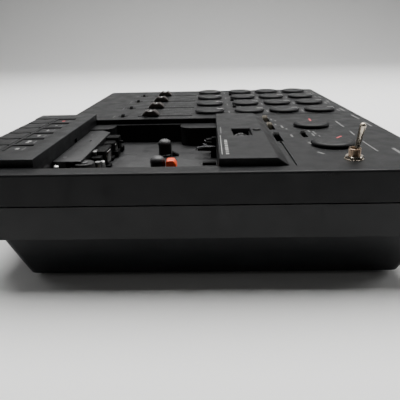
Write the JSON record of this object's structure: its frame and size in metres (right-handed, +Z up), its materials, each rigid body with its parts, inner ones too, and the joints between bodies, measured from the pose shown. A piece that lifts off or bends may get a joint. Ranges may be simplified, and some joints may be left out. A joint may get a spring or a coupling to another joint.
{
  "type": "portable four-track cassette recorder",
  "caption": "Flat portable cassette recorder and mixer: open tape well, piano keys, raised counter cover, round pot knobs, faders, slide switches and a toggle.",
  "frame": {"origin": "middle of the outline, on the surface the feet stand on", "axes": "+X towards the user's right, the cassette end; +Y towards the back panel; +Z up"},
  "size_m": [0.31, 0.237, 0.0792],
  "materials": {
    "deck_plastic": "fine matt texture",
    "case_plastic": "fine matt texture",
    "foot_rubber": "matt",
    "key_plastic": "fine matt texture",
    "chassis_metal": "satin grey",
    "cover_metal": "satin grey",
    "nickel": "bright",
    "board": "solder mask",
    "jack_plastic": "matt",
    "black_plastic": "satin",
    "steel": "turned",
    "roller_rubber": "ground",
    "orange_plastic": "satin",
    "counter_plastic": "satin",
    "knob_plastic": "fine matt texture",
    "fader_plastic": "matt",
    "switch_plastic": "satin"
  },
  "bodies": {
    "case": {"upper_shell": "deck_plastic", "lower_shell": "case_plastic", "rubber_feet": "foot_rubber", "key_block": "key_plastic", "deck_chassis": "chassis_metal", "head_cover": "cover_metal", "cassette_hood": "deck_plastic", "toggle_bushing": "nickel", "circuit_board": "board", "rear_jacks": "jack_plastic"},
    "key_record": {"key_record": "key_plastic"},
    "key_play": {"key_play": "key_plastic"},
    "key_rewind": {"key_rewind": "key_plastic"},
    "key_fast_forward": {"key_fast_forward": "key_plastic"},
    "key_stop_eject": {"key_stop_eject": "key_plastic"},
    "key_pause": {"key_pause": "key_plastic"},
    "head_bridge": {"head_bridge": "black_plastic"},
    "pinch_arm": {"pinch_arm": "steel"},
    "pinch_roller": {"pinch_roller": "roller_rubber"},
    "capstan_flywheel": {"capstan_flywheel": "steel"},
    "supply_spindle": {"supply_spindle": "black_plastic"},
    "takeup_spindle": {"takeup_spindle": "black_plastic"},
    "stop_lever": {"stop_lever": "orange_plastic"},
    "counter_wheels": {"counter_wheels": "counter_plastic"},
    "counter_reset": {"counter_reset": "key_plastic"},
    "send_knob_1": {"send_knob_1": "knob_plastic"},
    "pan_knob_1": {"pan_knob_1": "knob_plastic"},
    "tone_knob_1": {"tone_knob_1": "knob_plastic"},
    "gain_knob_1": {"gain_knob_1": "knob_plastic"},
    "fader_cap_1": {"fader_cap_1": "fader_plastic"},
    "track_switch_1": {"track_switch_1": "switch_plastic"},
    "input_switch_1": {"input_switch_1": "switch_plastic"},
    "send_knob_2": {"send_knob_2": "knob_plastic"},
    "pan_knob_2": {"pan_knob_2": "knob_plastic"},
    "tone_knob_2": {"tone_knob_2": "knob_plastic"},
    "gain_knob_2": {"gain_knob_2": "knob_plastic"},
    "fader_cap_2": {"fader_cap_2": "fader_plastic"},
    "track_switch_2": {"track_switch_2": "switch_plastic"},
    "input_switch_2": {"input_switch_2": "switch_plastic"},
    "send_knob_3": {"send_knob_3": "knob_plastic"},
    "pan_knob_3": {"pan_knob_3": "knob_plastic"},
    "tone_knob_3": {"tone_knob_3": "knob_plastic"},
    "gain_knob_3": {"gain_knob_3": "knob_plastic"},
    "fader_cap_3": {"fader_cap_3": "fader_plastic"},
    "track_switch_3": {"track_switch_3": "switch_plastic"},
    "input_switch_3": {"input_switch_3": "switch_plastic"},
    "send_knob_4": {"send_knob_4": "knob_plastic"},
    "pan_knob_4": {"pan_knob_4": "knob_plastic"},
    "tone_knob_4": {"tone_knob_4": "knob_plastic"},
    "gain_knob_4": {"gain_knob_4": "knob_plastic"},
    "fader_cap_4": {"fader_cap_4": "fader_plastic"},
    "track_switch_4": {"track_switch_4": "switch_plastic"},
    "input_switch_4": {"input_switch_4": "switch_plastic"},
    "pitch_knob": {"pitch_knob": "knob_plastic"},
    "level_knob": {"level_knob": "knob_plastic"},
    "reverb_switch": {"reverb_switch": "switch_plastic"},
    "monitor_switch": {"monitor_switch": "switch_plastic"},
    "dubbing_switch": {"dubbing_switch": "switch_plastic"},
    "speed_switch": {"speed_switch": "switch_plastic"},
    "toggle_lever": {"toggle_lever": "nickel"}
  },
  "joints": [
    {"name": "key_record_press", "type": "hinge", "parent": "case", "child": "key_record", "pos_m": [0.0785, -0.084, 0.057], "axis": [1, 0, 0], "range_deg": [0, 8], "stiffness_Nm_per_rad": 0.3, "springref_deg": -5.73},
    {"name": "key_play_press", "type": "hinge", "parent": "case", "child": "key_play", "pos_m": [0.0785, -0.084, 0.057], "axis": [1, 0, 0], "range_deg": [0, 8], "stiffness_Nm_per_rad": 0.3, "springref_deg": -5.73},
    {"name": "key_rewind_press", "type": "hinge", "parent": "case", "child": "key_rewind", "pos_m": [0.0785, -0.084, 0.057], "axis": [1, 0, 0], "range_deg": [0, 8], "stiffness_Nm_per_rad": 0.3, "springref_deg": -5.73},
    {"name": "key_fast_forward_press", "type": "hinge", "parent": "case", "child": "key_fast_forward", "pos_m": [0.0785, -0.084, 0.057], "axis": [1, 0, 0], "range_deg": [0, 8], "stiffness_Nm_per_rad": 0.3, "springref_deg": -5.73},
    {"name": "key_stop_eject_press", "type": "hinge", "parent": "case", "child": "key_stop_eject", "pos_m": [0.0785, -0.084, 0.057], "axis": [1, 0, 0], "range_deg": [0, 8], "stiffness_Nm_per_rad": 0.3, "springref_deg": -5.73},
    {"name": "key_pause_press", "type": "hinge", "parent": "case", "child": "key_pause", "pos_m": [0.0785, -0.084, 0.057], "axis": [1, 0, 0], "range_deg": [0, 8], "stiffness_Nm_per_rad": 0.3, "springref_deg": -5.73},
    {"name": "head_bridge_slide", "type": "slide", "parent": "case", "child": "head_bridge", "axis": [0, 1, 0], "range_m": [0, 0.005]},
    {"name": "pinch_arm_swing", "type": "hinge", "parent": "case", "child": "pinch_arm", "pos_m": [0.13, -0.066, 0.05], "axis": [0, 0, 1], "range_deg": [-11, 0]},
    {"name": "pinch_roller_spin", "type": "hinge", "parent": "pinch_arm", "child": "pinch_roller", "pos_m": [0.11545, -0.06125, 0.052], "axis": [0, 0, 1], "continuous": true},
    {"name": "capstan_spin", "type": "hinge", "parent": "case", "child": "capstan_flywheel", "pos_m": [0.11425, -0.0515, 0.04], "axis": [0, 0, 1], "continuous": true},
    {"name": "supply_spin", "type": "hinge", "parent": "case", "child": "supply_spindle", "pos_m": [0.062, -0.0227, 0.048], "axis": [0, 0, 1], "continuous": true},
    {"name": "takeup_spin", "type": "hinge", "parent": "case", "child": "takeup_spindle", "pos_m": [0.1045, -0.0227, 0.048], "axis": [0, 0, 1], "continuous": true},
    {"name": "stop_lever_swing", "type": "hinge", "parent": "case", "child": "stop_lever", "pos_m": [0.1045, 0.0005, 0.046], "axis": [0, 0, 1], "range_deg": [-5, 5], "stiffness_Nm_per_rad": 0.002},
    {"name": "counter_spin", "type": "hinge", "parent": "case", "child": "counter_wheels", "pos_m": [0.0858, 0.0259, 0.0565], "axis": [1, 0, 0], "continuous": true},
    {"name": "counter_reset_press", "type": "slide", "parent": "case", "child": "counter_reset", "axis": [0, 0, -1], "range_m": [0, 0.0008], "stiffness_N_per_m": 20, "springref_m": -0.001},
    {"name": "send_knob_1_turn", "type": "hinge", "parent": "case", "child": "send_knob_1", "pos_m": [-0.01, 0.007, 0.061], "axis": [0, 0, 1], "range_deg": [-150, 150]},
    {"name": "pan_knob_1_turn", "type": "hinge", "parent": "case", "child": "pan_knob_1", "pos_m": [-0.01, 0.0385, 0.061], "axis": [0, 0, 1], "range_deg": [-150, 150]},
    {"name": "tone_knob_1_turn", "type": "hinge", "parent": "case", "child": "tone_knob_1", "pos_m": [-0.01, 0.0661, 0.061], "axis": [0, 0, 1], "range_deg": [-150, 150]},
    {"name": "gain_knob_1_turn", "type": "hinge", "parent": "case", "child": "gain_knob_1", "pos_m": [-0.01, 0.0941, 0.061], "axis": [0, 0, 1], "range_deg": [-150, 150]},
    {"name": "fader_cap_1_slide", "type": "slide", "parent": "case", "child": "fader_cap_1", "axis": [0, 1, 0], "range_m": [-0.0082, 0.0292]},
    {"name": "track_switch_1_slide", "type": "slide", "parent": "case", "child": "track_switch_1", "axis": [1, 0, 0], "range_m": [0, 0.004]},
    {"name": "input_switch_1_slide", "type": "slide", "parent": "case", "child": "input_switch_1", "axis": [1, 0, 0], "range_m": [0, 0.004]},
    {"name": "send_knob_2_turn", "type": "hinge", "parent": "case", "child": "send_knob_2", "pos_m": [-0.05, 0.007, 0.061], "axis": [0, 0, 1], "range_deg": [-150, 150]},
    {"name": "pan_knob_2_turn", "type": "hinge", "parent": "case", "child": "pan_knob_2", "pos_m": [-0.05, 0.0385, 0.061], "axis": [0, 0, 1], "range_deg": [-150, 150]},
    {"name": "tone_knob_2_turn", "type": "hinge", "parent": "case", "child": "tone_knob_2", "pos_m": [-0.05, 0.0661, 0.061], "axis": [0, 0, 1], "range_deg": [-150, 150]},
    {"name": "gain_knob_2_turn", "type": "hinge", "parent": "case", "child": "gain_knob_2", "pos_m": [-0.05, 0.0941, 0.061], "axis": [0, 0, 1], "range_deg": [-150, 150]},
    {"name": "fader_cap_2_slide", "type": "slide", "parent": "case", "child": "fader_cap_2", "axis": [0, 1, 0], "range_m": [-0.0082, 0.0292]},
    {"name": "track_switch_2_slide", "type": "slide", "parent": "case", "child": "track_switch_2", "axis": [1, 0, 0], "range_m": [0, 0.004]},
    {"name": "input_switch_2_slide", "type": "slide", "parent": "case", "child": "input_switch_2", "axis": [1, 0, 0], "range_m": [0, 0.004]},
    {"name": "send_knob_3_turn", "type": "hinge", "parent": "case", "child": "send_knob_3", "pos_m": [-0.09, 0.007, 0.061], "axis": [0, 0, 1], "range_deg": [-150, 150]},
    {"name": "pan_knob_3_turn", "type": "hinge", "parent": "case", "child": "pan_knob_3", "pos_m": [-0.09, 0.0385, 0.061], "axis": [0, 0, 1], "range_deg": [-150, 150]},
    {"name": "tone_knob_3_turn", "type": "hinge", "parent": "case", "child": "tone_knob_3", "pos_m": [-0.09, 0.0661, 0.061], "axis": [0, 0, 1], "range_deg": [-150, 150]},
    {"name": "gain_knob_3_turn", "type": "hinge", "parent": "case", "child": "gain_knob_3", "pos_m": [-0.09, 0.0941, 0.061], "axis": [0, 0, 1], "range_deg": [-150, 150]},
    {"name": "fader_cap_3_slide", "type": "slide", "parent": "case", "child": "fader_cap_3", "axis": [0, 1, 0], "range_m": [-0.0082, 0.0292]},
    {"name": "track_switch_3_slide", "type": "slide", "parent": "case", "child": "track_switch_3", "axis": [1, 0, 0], "range_m": [0, 0.004]},
    {"name": "input_switch_3_slide", "type": "slide", "parent": "case", "child": "input_switch_3", "axis": [1, 0, 0], "range_m": [0, 0.004]},
    {"name": "send_knob_4_turn", "type": "hinge", "parent": "case", "child": "send_knob_4", "pos_m": [-0.13, 0.007, 0.061], "axis": [0, 0, 1], "range_deg": [-150, 150]},
    {"name": "pan_knob_4_turn", "type": "hinge", "parent": "case", "child": "pan_knob_4", "pos_m": [-0.13, 0.0385, 0.061], "axis": [0, 0, 1], "range_deg": [-150, 150]},
    {"name": "tone_knob_4_turn", "type": "hinge", "parent": "case", "child": "tone_knob_4", "pos_m": [-0.13, 0.0661, 0.061], "axis": [0, 0, 1], "range_deg": [-150, 150]},
    {"name": "gain_knob_4_turn", "type": "hinge", "parent": "case", "child": "gain_knob_4", "pos_m": [-0.13, 0.0941, 0.061], "axis": [0, 0, 1], "range_deg": [-150, 150]},
    {"name": "fader_cap_4_slide", "type": "slide", "parent": "case", "child": "fader_cap_4", "axis": [0, 1, 0], "range_m": [-0.0082, 0.0292]},
    {"name": "track_switch_4_slide", "type": "slide", "parent": "case", "child": "track_switch_4", "axis": [1, 0, 0], "range_m": [0, 0.004]},
    {"name": "input_switch_4_slide", "type": "slide", "parent": "case", "child": "input_switch_4", "axis": [1, 0, 0], "range_m": [0, 0.004]},
    {"name": "pitch_knob_turn", "type": "hinge", "parent": "case", "child": "pitch_knob", "pos_m": [0.0525, 0.0742, 0.061], "axis": [0, 0, 1], "range_deg": [-240, 60]},
    {"name": "level_knob_turn", "type": "hinge", "parent": "case", "child": "level_knob", "pos_m": [0.1061, 0.0745, 0.061], "axis": [0, 0, 1], "range_deg": [-105, 195]},
    {"name": "reverb_switch_slide", "type": "slide", "parent": "case", "child": "reverb_switch", "axis": [1, 0, 0], "range_m": [0, 0.012]},
    {"name": "monitor_switch_slide", "type": "slide", "parent": "case", "child": "monitor_switch", "axis": [1, 0, 0], "range_m": [0, 0.012]},
    {"name": "dubbing_switch_slide", "type": "slide", "parent": "case", "child": "dubbing_switch", "axis": [1, 0, 0], "range_m": [0, 0.012]},
    {"name": "speed_switch_slide", "type": "slide", "parent": "case", "child": "speed_switch", "axis": [1, 0, 0], "range_m": [0, 0.006]},
    {"name": "toggle_throw", "type": "hinge", "parent": "case", "child": "toggle_lever", "pos_m": [0.1355, 0.0773, 0.061], "axis": [-0.4067, 0.9135, 0], "range_deg": [-24, 0]}
  ],
  "couplings": [
    {"joint": "head_bridge_slide", "follows": "key_play_press", "m_per_rad": 0.03577},
    {"joint": "pinch_arm_swing", "follows": "key_play_press", "ratio": -1.32},
    {"joint": "counter_spin", "follows": "takeup_spin", "ratio": 0.5}
  ]
}
